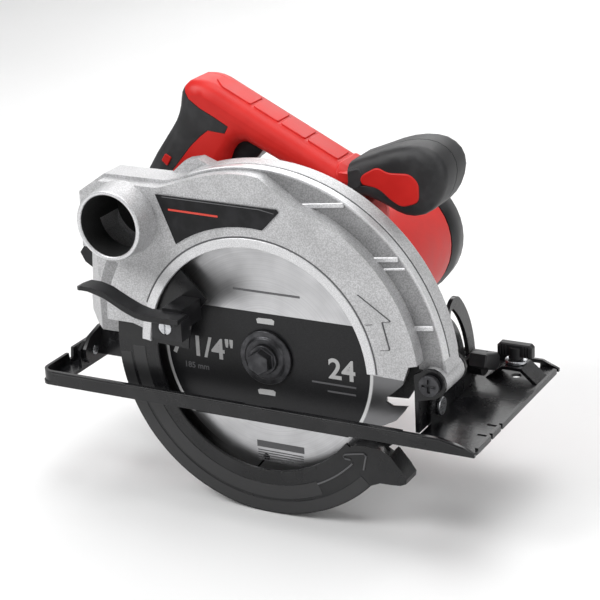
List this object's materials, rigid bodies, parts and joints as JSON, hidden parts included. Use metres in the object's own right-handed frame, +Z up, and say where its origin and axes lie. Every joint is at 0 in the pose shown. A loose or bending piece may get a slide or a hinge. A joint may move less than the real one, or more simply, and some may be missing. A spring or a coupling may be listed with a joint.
{
  "type": "circular saw",
  "caption": "Corded hand-held circular saw with a cast blade guard, sprung lower guard, tilting base plate, depth lever, trigger handle and front knob.",
  "frame": {"origin": "on the sole of the base plate, on the line of the blade, 120 mm in front of the arbor", "axes": "+X forward along the cut, +Y from the blade towards the motor, +Z up from the sole"},
  "size_m": [0.29, 0.219, 0.2481],
  "materials": {
    "cast_aluminium": "satin",
    "black_steel": "satin",
    "bright_steel": "satin",
    "blade_steel": "satin",
    "red_plastic": "satin",
    "black_plastic": "satin",
    "grip_rubber": "matte",
    "label_film": "gloss",
    "copper": "satin",
    "lamination": "satin"
  },
  "bodies": {
    "base": {"base_plate": "black_steel", "bevel_quadrant": "black_steel", "front_bevel_pin": "bright_steel", "rear_bevel_pin": "bright_steel", "fence_washer": "bright_steel"},
    "fence_clamp": {"fence_screw": "black_plastic"},
    "tilt_frame": {"front_bracket": "black_steel", "rear_bracket": "black_steel", "depth_pivot_screw": "bright_steel", "bevel_stud": "bright_steel"},
    "bevel_clamp": {"bevel_knob": "black_plastic"},
    "saw": {"upper_guard": "cast_aluminium", "guard_label": "label_film", "depth_clamp_bolt": "bright_steel", "gear_case": "cast_aluminium", "motor_housing": "red_plastic", "motor_end_cap": "black_plastic", "stator": "lamination", "upper_brush_cap": "black_plastic", "lower_brush_cap": "black_plastic", "front_bearing": "bright_steel", "rear_bearing": "bright_steel", "arbor_bearing": "bright_steel", "guard_clip": "bright_steel", "guard_spring": "bright_steel", "handle_shell": "red_plastic", "handle_cover": "red_plastic", "rear_grip": "grip_rubber", "trigger_pin": "bright_steel", "switch_body": "black_plastic", "cord_gland": "grip_rubber", "knob_near_half": "grip_rubber", "knob_far_half": "grip_rubber"},
    "depth_clamp": {"depth_lever": "black_plastic"},
    "spindle": {"arbor": "bright_steel", "spindle_gear": "bright_steel", "inner_flange": "bright_steel", "blade": "blade_steel", "outer_flange": "bright_steel", "blade_bolt": "bright_steel"},
    "rotor": {"armature": "lamination", "commutator": "copper", "cooling_fan": "black_plastic"},
    "swing_guard": {"lower_guard": "black_steel", "guard_lever": "black_plastic", "lever_screw": "bright_steel"},
    "switch_trigger": {"trigger": "black_plastic"}
  },
  "joints": [
    {"name": "bevel_tilt", "type": "hinge", "parent": "base", "child": "tilt_frame", "pos_m": [-0.12, 0.012, 0.0105], "axis": [1, 0, 0], "range_deg": [0, 45]},
    {"name": "depth_raise", "type": "hinge", "parent": "tilt_frame", "child": "saw", "pos_m": [-0.0095, 0, 0.0335], "axis": [0, 1, 0], "range_deg": [0, 34]},
    {"name": "depth_lever_turn", "type": "hinge", "parent": "saw", "child": "depth_clamp", "pos_m": [-0.18906, 0.028, 0.02094], "axis": [0, 1, 0], "range_deg": [0, 40]},
    {"name": "blade_spin", "type": "hinge", "parent": "saw", "child": "spindle", "pos_m": [-0.12, 0, 0.03], "axis": [0, -1, 0], "continuous": true},
    {"name": "motor_spin", "type": "hinge", "parent": "saw", "child": "rotor", "pos_m": [-0.1045, 0.1, 0.058], "axis": [0, -1, 0], "continuous": true},
    {"name": "guard_swing", "type": "hinge", "parent": "saw", "child": "swing_guard", "pos_m": [-0.12, 0, 0.03], "axis": [0, 1, 0], "range_deg": [0, 100], "stiffness_Nm_per_rad": 0.3, "springref_deg": -68.75},
    {"name": "trigger_pull", "type": "hinge", "parent": "saw", "child": "switch_trigger", "pos_m": [-0.151, 0.06, 0.147], "axis": [0, 1, 0], "range_deg": [0, 8], "stiffness_Nm_per_rad": 0.8, "springref_deg": -8.59},
    {"name": "bevel_knob_turn", "type": "hinge", "parent": "tilt_frame", "child": "bevel_clamp", "pos_m": [-0.009, 0.0667, 0.01625], "axis": [1, 0, 0], "range_deg": [0, 40]},
    {"name": "fence_screw_turn", "type": "hinge", "parent": "base", "child": "fence_clamp", "pos_m": [0.0023, 0.0875, 0.015], "axis": [0, 0, 1], "continuous": true}
  ],
  "couplings": [
    {"joint": "motor_spin", "follows": "blade_spin", "ratio": -2.9231}
  ]
}
